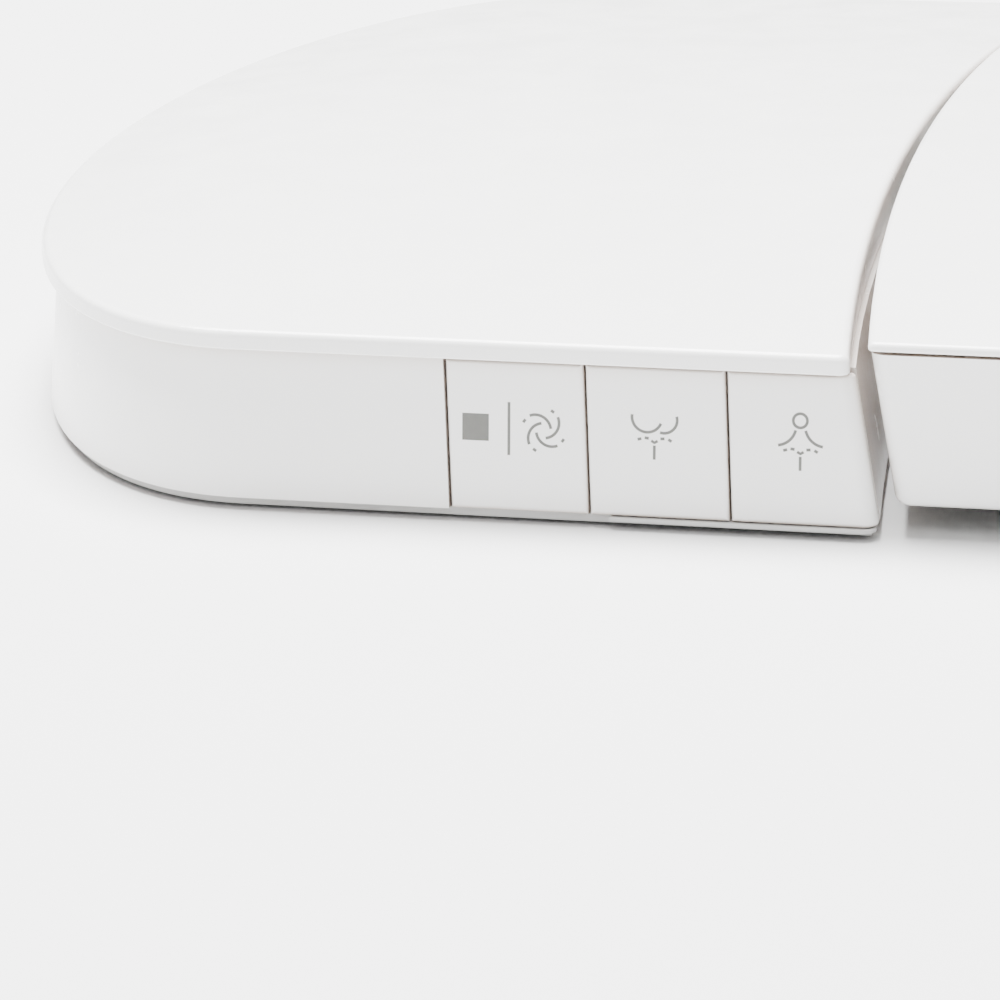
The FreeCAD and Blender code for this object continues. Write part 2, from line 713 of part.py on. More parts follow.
def feed_pipe():
    pipe = rod(2.0, V(0, 16, 0), V(0, nozzle_length + 8, 0))
    return in_nozzle_frame(pipe.cut(rod(1.2, V(0, 15, 0), V(0, nozzle_length + 9, 0))))


# ---- water, air and electronics ----------------------------------------------------------------------
inlet_x, inlet_z, inlet_radius = 96.0, 17.0, 10.48
inlet_start, inlet_flange, inlet_shoulder, inlet_end = 76.1, 79.0, 91.0, 107.0
inlet_bore = 7.0
gland_x, gland_z, gland_radius = 58.0, 16.0, 7.0
gland_start, gland_end, gland_bore = 84.0, 106.0, 3.4
hose_radius, port_radius = 3.2, 3.6
hose_z = 17.0
valve_y, pump_y = 68.0, 62.0
valve_x = (86.0, 106.0)
pump_x = (-62.0, -22.0)
heater_x, heater_y, heater_top = (-168.0, -128.0), (-12.0, 44.0), 28.0
heater_outlet, heater_inlet = -156.0, -140.0
port_length = 6.0
release_y, release_z = -10.0, 18.0
release_travel = 3.0
release_half_length, release_half_height = 9.0, 5.0
release_clearance = 0.5
release_inner = half_width - 45.0
stem_half_length, stem_half_height = 4.0, 3.0
stem_start = half_width - 25.0
latch_wall = 2.7
night_light_place = (-52.0, 22.0)
night_light_half_width, night_light_half_height = 6.0, 3.0
blower_middle = V(96, -30, 0)
blower_radius, blower_low, blower_top, blower_wall = 31.0, 7.2, 28.0, 2.0
impeller_radius, impeller_low, impeller_top = 24.0, 10.4, 23.0
blade_count, blade_half_thick, blade_root, blade_sweep = 18, 0.6, 17.0, 35.0
blower_shaft = 1.5
duct = dict(x0=40.0, x1=84.0, y0=-97.4, y1=-62.1, z0=2.6, z1=20.0, wall=2.0)
deodoriser_middle = V(-62, -70, 0)
deodoriser = dict(x0=-84.0, x1=-40.0, y0=-98.0, y1=-50.0, z1=20.0, wall=2.0)
rotor_radius, rotor_hub, rotor_shaft, rotor_blades = 16.0, 7.0, 1.2, 7
duct_step = -90.0
flap_hinge_y = -101.2


def diverter_valve():
    start = nozzle_length + 8
    return in_nozzle_frame(box(-8, 8, start, start + 9, -9, 2.2))


def pump():
    x0, x1 = pump_x
    body = x_rod(9.5, x0, x1, pump_y, hose_z).fuse(x_rod(5, x1, x1 + 5, pump_y, hose_z))
    return body.fuse(box(x0 + 6, x1 - 6, pump_y - 8, pump_y + 8, 6.5, 10))


def water_heater():
    (x0, x1), (y0, y1) = heater_x, heater_y
    body = box(x0, x1, y0, y1, floor_z, heater_top)
    body = body.makeFillet(3, [e for e in body.Edges if abs(e.tangentAt(0).z) > 0.9])
    for x in (heater_outlet, heater_inlet):
        body = body.fuse(rod(port_radius, V(x, y1, hose_z + 3), V(x, y1 + port_length, hose_z + 3)))
    return body


def solenoid_valve():
    x0, x1 = valve_x
    body = box(x0, x1, valve_y - 8, valve_y + 8, 8, 26)
    coil = rod(7, V(inlet_x, valve_y - 14, inlet_z), V(inlet_x, valve_y - 8, inlet_z))
    return body.fuse(coil).fuse(x_rod(port_radius, x0 - port_length, x0, valve_y, hose_z))


def inlet_part(radius, start, end):
    return rod(radius, V(inlet_x, start, inlet_z), V(inlet_x, end, inlet_z))


def inlet_connector():
    thread = inlet_part(inlet_radius, inlet_shoulder, inlet_end)
    neck = inlet_part(inlet_radius - 0.3, inlet_flange, inlet_shoulder)
    collar = inlet_part(inlet_radius + 2.5, inlet_start, inlet_flange)
    return thread.fuse(neck).fuse(collar).cut(inlet_part(inlet_bore, inlet_start + 1.5, inlet_end + 1))


def inlet_filter():
    return inlet_part(inlet_bore - 0.2, inlet_start + 2.1, inlet_shoulder + 1)


def gland_part(radius, start, end):
    return rod(radius, V(gland_x, start, gland_z), V(gland_x, end, gland_z))


def cord_gland():
    collar = gland_part(gland_radius + 2, gland_start, gland_start + 6)
    body = gland_part(gland_radius, gland_start, gland_end).fuse(collar)
    return body.cut(gland_part(gland_bore, gland_start - 1, gland_end + 1))


def hose(points, bend):
    """A tube with straight runs and round bends in one horizontal plane."""
    edges, start = [], points[0]
    for here, after in zip(points[1:-1], points[2:]):
        before = (start - here).normalize()
        onward = (after - here).normalize()
        half = math.acos(max(-1, min(1, before.dot(onward)))) / 2
        cut = bend / math.tan(half)
        first, last = here + before * cut, here + onward * cut
        middle_way = (before + onward).normalize()
        middle = here + middle_way * (bend / math.sin(half) - bend)
        edges.append(Part.LineSegment(start, first).toShape())
        edges.append(Part.Arc(first, middle, last).toShape())
        start = last
    edges.append(Part.LineSegment(start, points[-1]).toShape())
    path = Part.Wire(edges)
    profile = Part.Wire(Part.Circle(points[0], points[1] - points[0], hose_radius).toShape())
    return path.makePipeShell([profile], True, True)


def hose_valve():
    return hose([V(valve_x[0] - port_length - 0.1, valve_y, hose_z), V(pump_x[1] + 5.1, valve_y, hose_z)], 20)


def hose_pump():
    corner = V(heater_inlet, pump_y, hose_z)
    end = V(heater_inlet, heater_y[1] + port_length + 0.1, hose_z)
    return hose([V(pump_x[0] - 0.1, pump_y, hose_z), corner, end], 11)


def blower_disc(radius, low, high):
    return rod(radius, blower_middle + V(0, 0, low), blower_middle + V(0, 0, high))


def blower_case():
    x, y = blower_middle.x, blower_middle.y
    wall, inner = blower_wall, impeller_radius + 4.6
    mouth = box(x - 30.8, x - 12, y - 32, y, blower_low, duct["z1"])
    hollow = blower_disc(inner, blower_low + wall, blower_top - wall)
    mouth_hollow = box(x - 28.8, x - 14, y - 33, y - 4, blower_low + wall, duct["z1"] - wall)
    shape = blower_disc(blower_radius, blower_low, blower_top).fuse(mouth).cut(hollow.fuse(mouth_hollow))
    shape = shape.cut(blower_disc(impeller_radius - 8, blower_top - 3, blower_top + 2))
    return shape.cut(blower_disc(8.2, blower_low - 1, blower_low + wall + 1))


def blower_impeller():
    plate_top = impeller_low + 1.5
    plate = blower_disc(impeller_radius, impeller_low, plate_top)
    hub = blower_disc(5, plate_top, impeller_top - 4)
    rim = blower_disc(impeller_radius, impeller_top - 1.2, impeller_top)
    rim = rim.cut(blower_disc(impeller_radius - 6, impeller_top - 2, impeller_top + 1))
    limit = blower_disc(impeller_radius, 0, impeller_top + 7)
    blades = []
    for k in range(blade_count):
        blade = box(blade_root, impeller_radius, -blade_half_thick, blade_half_thick,
                    plate_top - 0.1, impeller_top)
        blade.rotate(V(blade_root, 0, 0), V(0, 0, 1), blade_sweep)
        blade.rotate(V(0, 0, 0), V(0, 0, 1), 360 / blade_count * k)
        blade.translate(blower_middle)
        blades.append(blade.common(limit))
    shaft = blower_disc(blower_shaft, impeller_low - 5, impeller_low + 0.1)
    return plate.fuse(hub).multiFuse(blades).fuse(rim).fuse(shaft)


def blower_motor():
    body = blower_disc(8, floor_z, blower_low + 1.4)
    return body.cut(blower_disc(blower_shaft + running_clearance, 5, 10))


def air_duct():
    """A box from the blower's mouth to the outlet behind the flap, stepped back beside the outlet."""
    x0, x1, y0, y1, z0, z1, wall = duct.values()
    shape = box(x0, x1, y0, y1, z0, z1).cut(box(x0 + wall, x1 - wall, y0 + 1.5, y1 + 2, z0 + wall, z1 - wall))
    shape = shape.cut(box(outlet["x1"] + 0.5, x1 + 6, y0 - 4, duct_step, z0 - 3, z1 + 10))
    shape = shape.cut(box(x0 + wall, outlet["x1"] - 1.5, y0 - 4, y0 + 2.4, z0 + wall, outlet["z1"] - 1.2))
    return shape.fuse(box(outlet["x1"] - 1.5, x1, duct_step - wall, duct_step, z0, z1))


def air_heater():
    x0, x1 = duct["x0"] + 13.6, duct["x1"] - 3.6
    y0, y1, low, high, fin = -86.0, -68.8, 5.2, 17.4, 1.2
    frame = box(x0, x0 + 1.4, y0, y1, low, high).fuse(box(x1 - 1.4, x1, y0, y1, low, high))
    fins = [box(x0 + 1.4, x1 - 1.4, y0 + 4 * i, y0 + 4 * i + fin, low, high) for i in range(5)]
    return frame.multiFuse(fins)


def outlet_flap():
    hinge = V(0, flap_hinge_y, outlet["z1"] - 1.2)
    x0, x1 = outlet["x0"] + 0.4, outlet["x1"] - 0.4
    leaf = box(x0, x1, hinge.y - 0.7, hinge.y + 0.7, outlet["z0"] + 0.4, hinge.z)
    return leaf.fuse(x_rod(0.9, x0, x1, hinge.y, hinge.z))


def deodoriser_disc(radius, low, high):
    return rod(radius, deodoriser_middle + V(0, 0, low), deodoriser_middle + V(0, 0, high))


def deodoriser_case():
    x0, x1, y0, y1, z1, wall = deodoriser.values()
    case = box(x0, x1, y0, y1, floor_z, z1)
    case = case.cut(box(x0 + wall, x1 - wall, y0 - 1, y1 - wall, floor_z + wall, z1 - wall))
    return case.cut(deodoriser_disc(rotor_radius + 1.5, z1 - 3, z1 + 2))


def deodoriser_cartridge():
    x0, x1, y0, y1, z1, wall = deodoriser.values()
    return box(x0 + wall + 1, x1 - wall - 1, y0 + 1, y0 + 8, floor_z + wall + 0.4, z1 - wall - 0.4)


def deodoriser_rotor():
    blades = []
    for k in range(rotor_blades):
        blade = box(rotor_hub - 1, rotor_radius, -0.6, 0.6, 8, 15)
        blade.rotate(V(0, 0, 0), V(0, 0, 1), 360 / rotor_blades * k)
        blade.translate(deodoriser_middle)
        blades.append(blade)
    hub = deodoriser_disc(rotor_hub, 7.5, 15.5)
    return hub.multiFuse(blades).fuse(deodoriser_disc(rotor_shaft, 5.2, 7.6))


def deodoriser_motor():
    body = deodoriser_disc(6, floor_z + deodoriser["wall"] + 0.1, 7.0)
    return body.cut(deodoriser_disc(rotor_shaft + running_clearance, 5, 8))


def main_board():
    x0, x1, y0, y1, low = -120, -42, -44, -19, 8
    board = box(x0, x1, y0, y1, low, low + board_thick)
    for i in range(3):
        chip = x0 + 8 + 22 * i
        board = board.fuse(box(chip, chip + 14, y0 + 6, y0 + 16, low + board_thick, low + 5 + i))
    for x in (x0 + 4, x1 - 4):
        board = board.fuse(rod(2.5, V(x, y0 + 4, floor_z), V(x, y0 + 4, low)))
    return board


def power_module():
    body = box(120, 158, 4, 44, floor_z, 27)
    return body.makeFillet(2, [e for e in body.Edges if abs(e.tangentAt(0).z) > 0.9])


def night_light_lens():
    lens = x_window(night_light_place, night_light_half_width, night_light_half_height)
    return lens.common(band_solid(0).cut(band_solid(band_wall)))


def release_button():
    skin = band_solid(0).cut(band_solid(band_wall))
    stem = box(stem_start, half_width - band_inset + 0.1, release_y - stem_half_length,
               release_y + stem_half_length, release_z - stem_half_height, release_z + stem_half_height)
    return skin.common(release_window(0)).fuse(stem)


def release_latch():
    half_y, half_z = stem_half_length + clearance, stem_half_height + clearance
    x0, x1 = half_width - 33, half_width - 10
    guide = box(x0, x1, release_y - half_y - latch_wall, release_y + half_y + latch_wall,
                floor_z, release_z + half_z + latch_wall + 1)
    return guide.cut(box(x0 - 1, x1 + 1, release_y - half_y, release_y + half_y,
                         release_z - half_z, release_z + half_z))


# ---- write --------------------------------------------------------------------------------------------
os.makedirs("parts", exist_ok=True)
save("mounting_plate", mounting_plate())
save("base_tray", base_tray())
save("base_pads", base_pads())
save("side_band", side_band())
save("top_cover", top_cover())
save("housing_screws", housing_screws())
for number, name in enumerate(key_names):
    save(name, key(number))
save("key_guide", key_guide())
save("key_board", key_board())
save("key_switches", key_switches())
bracket = hinge_bracket()
save("hinge_bracket_right", mirrored(bracket))
save("hinge_bracket_left", bracket)
save("lid_hinge_pin", hinge_pin())
save("seat_hinge_pin", mirrored(hinge_pin()))
save("lid_damper", damper())
save("seat_damper", mirrored(damper()))
save("seat_shell", seat_shell())
save("seat_base", seat_base())
save("seat_bumpers", seat_bumpers())
save("seat_heater", seat_heater())
save("occupancy_sensor", occupancy_sensor())
save("lid_panel", lid_panel())
save("lid_bumpers", lid_bumpers())
save("nozzle_wand", nozzle_wand())
save("nozzle_tip", nozzle_tip())
save("nozzle_cradle", nozzle_cradle())
save("nozzle_pinion", nozzle_pinion())
save("nozzle_motor", nozzle_motor())
save("feed_pipe", feed_pipe())
save("diverter_valve", diverter_valve())
save("pump", pump())
save("water_heater", water_heater())
save("solenoid_valve", solenoid_valve())
save("inlet_connector", inlet_connector())
save("inlet_filter", inlet_filter())
save("cord_gland", cord_gland())
save("hose_valve", hose_valve())
save("hose_pump", hose_pump())
save("blower_case", blower_case())
save("blower_impeller", blower_impeller())
save("blower_motor", blower_motor())
save("air_duct", air_duct())
save("air_heater", air_heater())
save("outlet_flap", outlet_flap())
save("deodoriser_case", deodoriser_case())
save("deodoriser_cartridge", deodoriser_cartridge())
save("deodoriser_rotor", deodoriser_rotor())
save("deodoriser_motor", deodoriser_motor())
save("main_board", main_board())
save("power_module", power_module())
save("night_light_lens", night_light_lens())
save("release_button", release_button())
save("release_latch", release_latch())
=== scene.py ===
import json
import math

import bmesh
import bpy
from mathutils import Matrix, Vector
from mathutils.bvhtree import BVHTree


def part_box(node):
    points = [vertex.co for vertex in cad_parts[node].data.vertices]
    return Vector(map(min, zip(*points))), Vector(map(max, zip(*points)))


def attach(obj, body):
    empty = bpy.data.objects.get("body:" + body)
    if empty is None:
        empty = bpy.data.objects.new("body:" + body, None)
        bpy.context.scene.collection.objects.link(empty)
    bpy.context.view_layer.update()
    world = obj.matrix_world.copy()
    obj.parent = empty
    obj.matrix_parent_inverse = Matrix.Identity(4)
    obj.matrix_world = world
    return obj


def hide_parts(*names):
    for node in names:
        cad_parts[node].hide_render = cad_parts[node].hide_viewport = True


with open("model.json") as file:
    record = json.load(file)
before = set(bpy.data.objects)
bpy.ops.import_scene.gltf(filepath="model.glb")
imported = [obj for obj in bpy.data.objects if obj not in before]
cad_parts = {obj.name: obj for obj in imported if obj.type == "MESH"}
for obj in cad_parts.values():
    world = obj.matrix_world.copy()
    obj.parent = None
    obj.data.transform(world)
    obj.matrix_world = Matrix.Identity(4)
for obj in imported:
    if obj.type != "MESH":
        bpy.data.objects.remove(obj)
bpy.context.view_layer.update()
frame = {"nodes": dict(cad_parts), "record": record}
nodes = frame["nodes"]
MM = 0.001
PAINTED_SHADE_REACH = 8 * MM          # how far a surface looks for other surfaces when painted shade darkens its colour in a gap


# ---- materials ----------------------------------------------------------------------------------------
def new_material(name, color, roughness, metallic=0.0):
    material = bpy.data.materials.new(name)
    material.use_nodes = True
    tree = material.node_tree
    shader = tree.nodes["Principled BSDF"]
    shader.inputs["Base Color"].default_value = (*color, 1)
    shader.inputs["Roughness"].default_value = roughness
    shader.inputs["Metallic"].default_value = metallic
    return material, tree, shader


def place(tree, scale=(1, 1, 1)):
    """Object coordinates in metres, stretched by scale."""
    coords = tree.nodes.new("ShaderNodeTexCoord")
    mapping = tree.nodes.new("ShaderNodeMapping")
    mapping.inputs["Scale"].default_value = scale
    tree.links.new(coords.outputs["Object"], mapping.inputs["Vector"])
    return mapping.outputs["Vector"]


def noise(tree, vector, scale, detail=3.0, rough=0.5):
    node = tree.nodes.new("ShaderNodeTexNoise")
    node.inputs["Scale"].default_value = scale
    node.inputs["Detail"].default_value = detail
    node.inputs["Roughness"].default_value = rough
    tree.links.new(vector, node.inputs["Vector"])
    return node.outputs["Fac"]


def spread(tree, value, low, high, start=0.3, end=0.7):
    """Turn the stretch start..end of a 0..1 pattern into low..high."""
    node = tree.nodes.new("ShaderNodeMapRange")
    node.inputs["From Min"].default_value = start
    node.inputs["From Max"].default_value = end
    node.inputs["To Min"].default_value = low
    node.inputs["To Max"].default_value = high
    tree.links.new(value, node.inputs["Value"])
    return node.outputs["Result"]


def tint(tree, shader, pattern, dark, light):
    mix = tree.nodes.new("ShaderNodeMix")
    mix.data_type = "RGBA"
    mix.inputs["A"].default_value = (*dark, 1)
    mix.inputs["B"].default_value = (*light, 1)
    tree.links.new(pattern, mix.inputs["Factor"])
    tree.links.new(mix.outputs["Result"], shader.inputs["Base Color"])
    return mix


def bump(tree, shader, height, strength, distance):
    node = tree.nodes.new("ShaderNodeBump")
    node.inputs["Strength"].default_value = strength
    node.inputs["Distance"].default_value = distance
    tree.links.new(height, node.inputs["Height"])
    tree.links.new(node.outputs["Normal"], shader.inputs["Normal"])
    return node


def shaded(color, factor):
    return tuple(channel * factor for channel in color)


def gloss_plastic(name, color, roughness=0.22, peel=0.02, painted_shade=None):
    """Polished moulded plastic: faint orange peel, tone drift, handling haze and painted shade, a darker base
    colour where other surfaces come close in gaps.
    """
    material, tree, shader = new_material(name, color, roughness)
    where = place(tree)
    drift = noise(tree, where, 9, 2)
    mix = tint(tree, shader, spread(tree, drift, 0, 1), shaded(color, 0.975), shaded(color, 1.0))
    # painted shade: ambient occlusion pulls the base colour toward the painted gap shade wherever other
    # surfaces are near, standing in for shade in gaps and seams
    if painted_shade:
        occlusion = tree.nodes.new("ShaderNodeAmbientOcclusion")
        occlusion.samples = 4
        occlusion.inputs["Distance"].default_value = PAINTED_SHADE_REACH
        shade_mix = tree.nodes.new("ShaderNodeMix")
        shade_mix.data_type = "RGBA"
        shade_mix.inputs["A"].default_value = (*painted_shade, 1)
        unshaded = spread(tree, occlusion.outputs["AO"], 0, 1, 0.25, 0.85)
        tree.links.new(unshaded, shade_mix.inputs["Factor"])
        tree.links.new(mix.outputs["Result"], shade_mix.inputs["B"])
        tree.links.new(shade_mix.outputs["Result"], shader.inputs["Base Color"])
    haze = noise(tree, where, 55, 4, 0.6)
    tree.links.new(spread(tree, haze, roughness * 0.85, roughness * 1.25), shader.inputs["Roughness"])
    bump(tree, shader, noise(tree, where, 420, 2), peel, 0.0004)
    shader.inputs["Coat Weight"].default_value = 0.15
    shader.inputs["Coat Roughness"].default_value = 0.12
    shader.inputs["Subsurface Weight"].default_value = 0.04
    shader.inputs["Subsurface Radius"].default_value = (0.002, 0.002, 0.0018)
    return material


def grained_plastic(name, color, roughness=0.5, scale=2200, depth=0.25):
    """Spark-eroded matt plastic with a fine grain."""
    material, tree, shader = new_material(name, color, roughness)
    where = place(tree)
    grain = noise(tree, where, scale, 5, 0.65)
    tint(tree, shader, spread(tree, noise(tree, where, 30, 3), 0, 1), shaded(color, 0.93), color)
    tree.links.new(spread(tree, grain, roughness * 0.85, roughness * 1.15), shader.inputs["Roughness"])
    bump(tree, shader, grain, depth, 0.0002)
    return material


def brushed_metal(name, color, roughness=0.32, along=(1, 30, 30)):
    material, tree, shader = new_material(name, color, roughness, 1.0)
    streaks = noise(tree, place(tree, along), 60, 6, 0.7)
    tint(tree, shader, spread(tree, streaks, 0, 1), shaded(color, 0.85), color)
    tree.links.new(spread(tree, streaks, roughness * 0.8, roughness * 1.3), shader.inputs["Roughness"])
    bump(tree, shader, streaks, 0.12, 0.0001)
    return material


def turned_brass(name, color):
    material, tree, shader = new_material(name, color, 0.25, 1.0)
    wave = tree.nodes.new("ShaderNodeTexWave")
    wave.bands_direction = "Y"
    wave.inputs["Scale"].default_value = 700
    wave.inputs["Distortion"].default_value = 0.4
    tree.links.new(place(tree), wave.inputs["Vector"])
    tint(tree, shader, spread(tree, noise(tree, place(tree), 80, 4), 0, 1), shaded(color, 0.8), color)
    bump(tree, shader, wave.outputs["Fac"], 0.1, 0.0001)
    return material


def soft_rubber(name, color):
    material, tree, shader = new_material(name, color, 0.75)
    where = place(tree)
    tint(tree, shader, spread(tree, noise(tree, where, 120, 4), 0, 1), shaded(color, 0.85), color)
    bump(tree, shader, noise(tree, where, 2600, 4, 0.7), 0.35, 0.0002)
    shader.inputs["Sheen Weight"].default_value = 0.15
    return material


def circuit_board(name, color):
    material, tree, shader = new_material(name, color, 0.35)
    tracks = tree.nodes.new("ShaderNodeTexBrick")
    tracks.inputs["Scale"].default_value = 220
    tracks.inputs["Mortar Size"].default_value = 0.06
    tracks.inputs["Color1"].default_value = (*color, 1)
    tracks.inputs["Color2"].default_value = (*shaded(color, 0.8), 1)
    tracks.inputs["Mortar"].default_value = (*shaded(color, 1.9), 1)
    tree.links.new(place(tree), tracks.inputs["Vector"])
    tree.links.new(tracks.outputs["Color"], shader.inputs["Base Color"])
    bump(tree, shader, tracks.outputs["Fac"], 0.2, 0.0001)
    return material


def crinkled_foil(name, color):
    material, tree, shader = new_material(name, color, 0.3, 1.0)
    cells = tree.nodes.new("ShaderNodeTexVoronoi")
    cells.inputs["Scale"].default_value = 160
    tree.links.new(place(tree), cells.inputs["Vector"])
    tint(tree, shader, spread(tree, cells.outputs["Distance"], 0, 1), shaded(color, 0.85), color)
    bump(tree, shader, cells.outputs["Distance"], 0.4, 0.0003)
    return material


def honeycomb(name, color, scale=420):
    material, tree, shader = new_material(name, color, 0.8)
    cells = tree.nodes.new("ShaderNodeTexVoronoi")
    cells.feature = "DISTANCE_TO_EDGE"
    cells.inputs["Scale"].default_value = scale
    tree.links.new(place(tree), cells.inputs["Vector"])
    tint(tree, shader, spread(tree, cells.outputs["Distance"], 0, 1), shaded(color, 0.5), shaded(color, 1.5))
    bump(tree, shader, cells.outputs["Distance"], 0.8, 0.0006)
    return material


def frosted(name, color):
    material, tree, shader = new_material(name, color, 0.45)
    where = place(tree)
    tint(tree, shader, spread(tree, noise(tree, where, 60, 3), 0, 1), shaded(color, 0.95), color)
    bump(tree, shader, noise(tree, where, 3000, 3), 0.2, 0.0001)
    shader.inputs["Subsurface Weight"].default_value = 0.3
    shader.inputs["Subsurface Radius"].default_value = (0.003, 0.003, 0.003)
    return material


def print_ink(name, color):
    material, tree, shader = new_material(name, color, 0.45)
    where = place(tree)
    tint(tree, shader, spread(tree, noise(tree, where, 900, 3), 0, 1), shaded(color, 0.94), color)
    bump(tree, shader, noise(tree, where, 4000, 2), 0.1, 0.00005)
    return material


WHITE = (0.86, 0.86, 0.85)
# painted shade: the warm brownish tone that white plastic takes in shadowed gaps and seams
PAINTED_GAP_SHADE = (0.50, 0.43, 0.38)
INK = (0.115, 0.115, 0.105)
looks = {
    "white_gloss": gloss_plastic("white_gloss_plastic", WHITE, painted_shade=PAINTED_GAP_SHADE),
    "grey_plastic": grained_plastic("grey_grained_plastic", (0.48, 0.48, 0.47)),
    "plate_steel": brushed_metal("plated_steel", (0.62, 0.62, 0.61)),
    "rubber": soft_rubber("light_grey_rubber", (0.55, 0.55, 0.54)),
    "nozzle_white": gloss_plastic("nozzle_plastic", (0.74, 0.75, 0.75), 0.18, 0.01),
    "brass": turned_brass("turned_brass", (0.72, 0.56, 0.30)),
    "board": circuit_board("circuit_board", (0.04, 0.18, 0.07)),
    "foil": crinkled_foil("heater_foil", (0.75, 0.75, 0.76)),
    "carbon": honeycomb("carbon_honeycomb", (0.05, 0.05, 0.05)),
    "filter": honeycomb("filter_mesh", (0.55, 0.54, 0.50), 900),
    "lens": frosted("frosted_lens", (0.80, 0.80, 0.76)),
}
slot_of = {entry["node"]: entry["material_slot"] for entry in frame["record"]["subparts"]}
for name, obj in nodes.items():
    for index in range(len(obj.material_slots)):
        obj.material_slots[index].material = looks[slot_of[name]]


# ---- mesh helpers -------------------------------------------------------------------------------------
def make_object(name, verts, faces, material, smooth=True):
    mesh = bpy.data.meshes.new(name)
    mesh.from_pydata([tuple(v) for v in verts], [], faces)
    mesh.validate()
    work = bmesh.new()
    work.from_mesh(mesh)
    bmesh.ops.recalc_face_normals(work, faces=work.faces)
    work.to_mesh(mesh)
    work.free()
    obj = bpy.data.objects.new(name, mesh)
    bpy.context.scene.collection.objects.link(obj)
    mesh.materials.append(material)
    mesh.polygons.foreach_set("use_smooth", [smooth] * len(mesh.polygons))
    return obj


# ---- printed symbols on the keys ----------------------------------------------------------------------
def arc(centre, radius, start, end, steps=24):
    """Points on an arc, angles in degrees, anticlockwise from the right."""
    angles = [math.radians(start + (end - start) * k / steps) for k in range(steps + 1)]
    return [(centre[0] + radius * math.cos(a), centre[1] + radius * math.sin(a)) for a in angles]


def ribbon(points, width, closed=False):
    """Quads of a line of that width, as a list of (left, right) pairs."""
    pairs = []
    count = len(points)
    for k, point in enumerate(points):
        before = points[(k - 1) % count] if closed or k else point
        after = points[(k + 1) % count] if closed or k < count - 1 else point
        dx, dy = after[0] - before[0], after[1] - before[1]
        length = math.hypot(dx, dy)
        nx, ny = -dy / length * width / 2, dx / length * width / 2
        pairs.append(((point[0] + nx, point[1] + ny), (point[0] - nx, point[1] - ny)))
    return pairs


def symbol(name, key, middle_y, strokes, solids, width):
    """Print strokes and solid shapes, drawn in mm right of middle_y and above z 0, on a key's face."""
    skin = nodes[key]
    tree = BVHTree.FromPolygons([v.co for v in skin.data.vertices], [p.vertices for p in skin.data.polygons])
    ink_top, ink_depth = 0.03 * MM, 0.03 * MM
    verts, faces = [], []

    def lay(point):
        y, z = (middle_y - point[0]) * MM, point[1] * MM
        hit = tree.ray_cast(Vector((-0.25, y, z)), Vector((1, 0, 0)))[0]
        verts.append(Vector((hit.x - ink_top, y, z)))
        verts.append(Vector((hit.x + ink_depth, y, z)))
        return len(verts) - 2

    for points, closed in strokes:
        rows = [(lay(a), lay(b)) for a, b in ribbon(points, width, closed)]
        count = len(rows)
        for k in range(count if closed else count - 1):
            (a, b), (c, d) = rows[k], rows[(k + 1) % count]
            faces += [(a, b, d, c), (a + 1, c + 1, d + 1, b + 1), (a, c, c + 1, a + 1), (b, b + 1, d + 1, d)]
        if not closed:
            for a, b in (rows[0], rows[-1]):
                faces.append((a, a + 1, b + 1, b))
    for outline in solids:
        front = [lay(point) for point in outline]
        count = len(front)
        faces.append(tuple(front))
        faces.append(tuple(i + 1 for i in reversed(front)))
        for k in range(count):
            a, b = front[k], front[(k + 1) % count]
            faces.append((a, b, b + 1, a + 1))
    obj = make_object(name, verts, faces, ink, smooth=False)
    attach(obj, body_with(key))
    return obj


def body_with(node):
    for body, members in frame["record"]["behaviour"]["bodies"].items():
        if node in members:
            return body


def turned(points, angle):
    c, s = math.cos(math.radians(angle)), math.sin(math.radians(angle))
    return [(x * c - y * s, x * s + y * c) for x, y in points]


def moved(points, dx, dy):
    return [(x + dx, y + dy) for x, y in points]


ink = print_ink("symbol_ink", INK)
STROKE = 0.58

swirl = []
for quarter in range(4):
    blade = arc((-1.65, 0), 3.17, 113, 8)
    dash = [(-4.2, 1.5), (-3.75, 2.15)]
    swirl += [(moved(turned(piece, 90 * quarter), 5.7, 19.0), False) for piece in (blade, dash)]
divider = ([(-1.45, 13.7), (-1.45, 24.5)], False)
square = [(-11.1, 16.4), (-5.6, 16.4), (-5.6, 21.9), (-11.1, 21.9)]
symbol("symbol_stop", "key_stop", -42.0, swirl + [divider], [square], STROKE)

spray = [
    ([(-3.45, -0.45), (-2.65, -0.25)], False), ([(-2.0, -0.05), (-1.15, -0.15)], False),
    ([(1.2, -0.15), (2.05, -0.1)], False), ([(2.8, -0.2), (3.5, -0.6)], False),
    ([(-0.65, -0.6), (0, -1.0), (0.65, -0.6)], False), ([(0, -1.55), (0, -4.4)], False),
]
cheeks = [(arc((-1.55, 22.75), 3.08, 172, 337), False), (arc((1.9, 22.3), 2.68, 17, -107), False)]
rear_spray = [(moved(points, 0, 18.6), closed) for points, closed in spray]
symbol("symbol_rear_wash", "key_rear_wash", -70.4, cheeks + rear_spray, [], STROKE)

head = (arc((-0.1, 23.4), 1.42, 0, 345, 23), True)
arms = [(arc((-5.0, 22.4), 4.1, -13.4, -83), False), (arc((5.0, 22.4), 4.1, 193.4, 263), False)]
front_spray = [(moved(points, 0, 17.75), closed) for points, closed in spray]
symbol("symbol_front_wash", "key_front_wash", -99.9, [head] + arms + front_spray, [], STROKE)


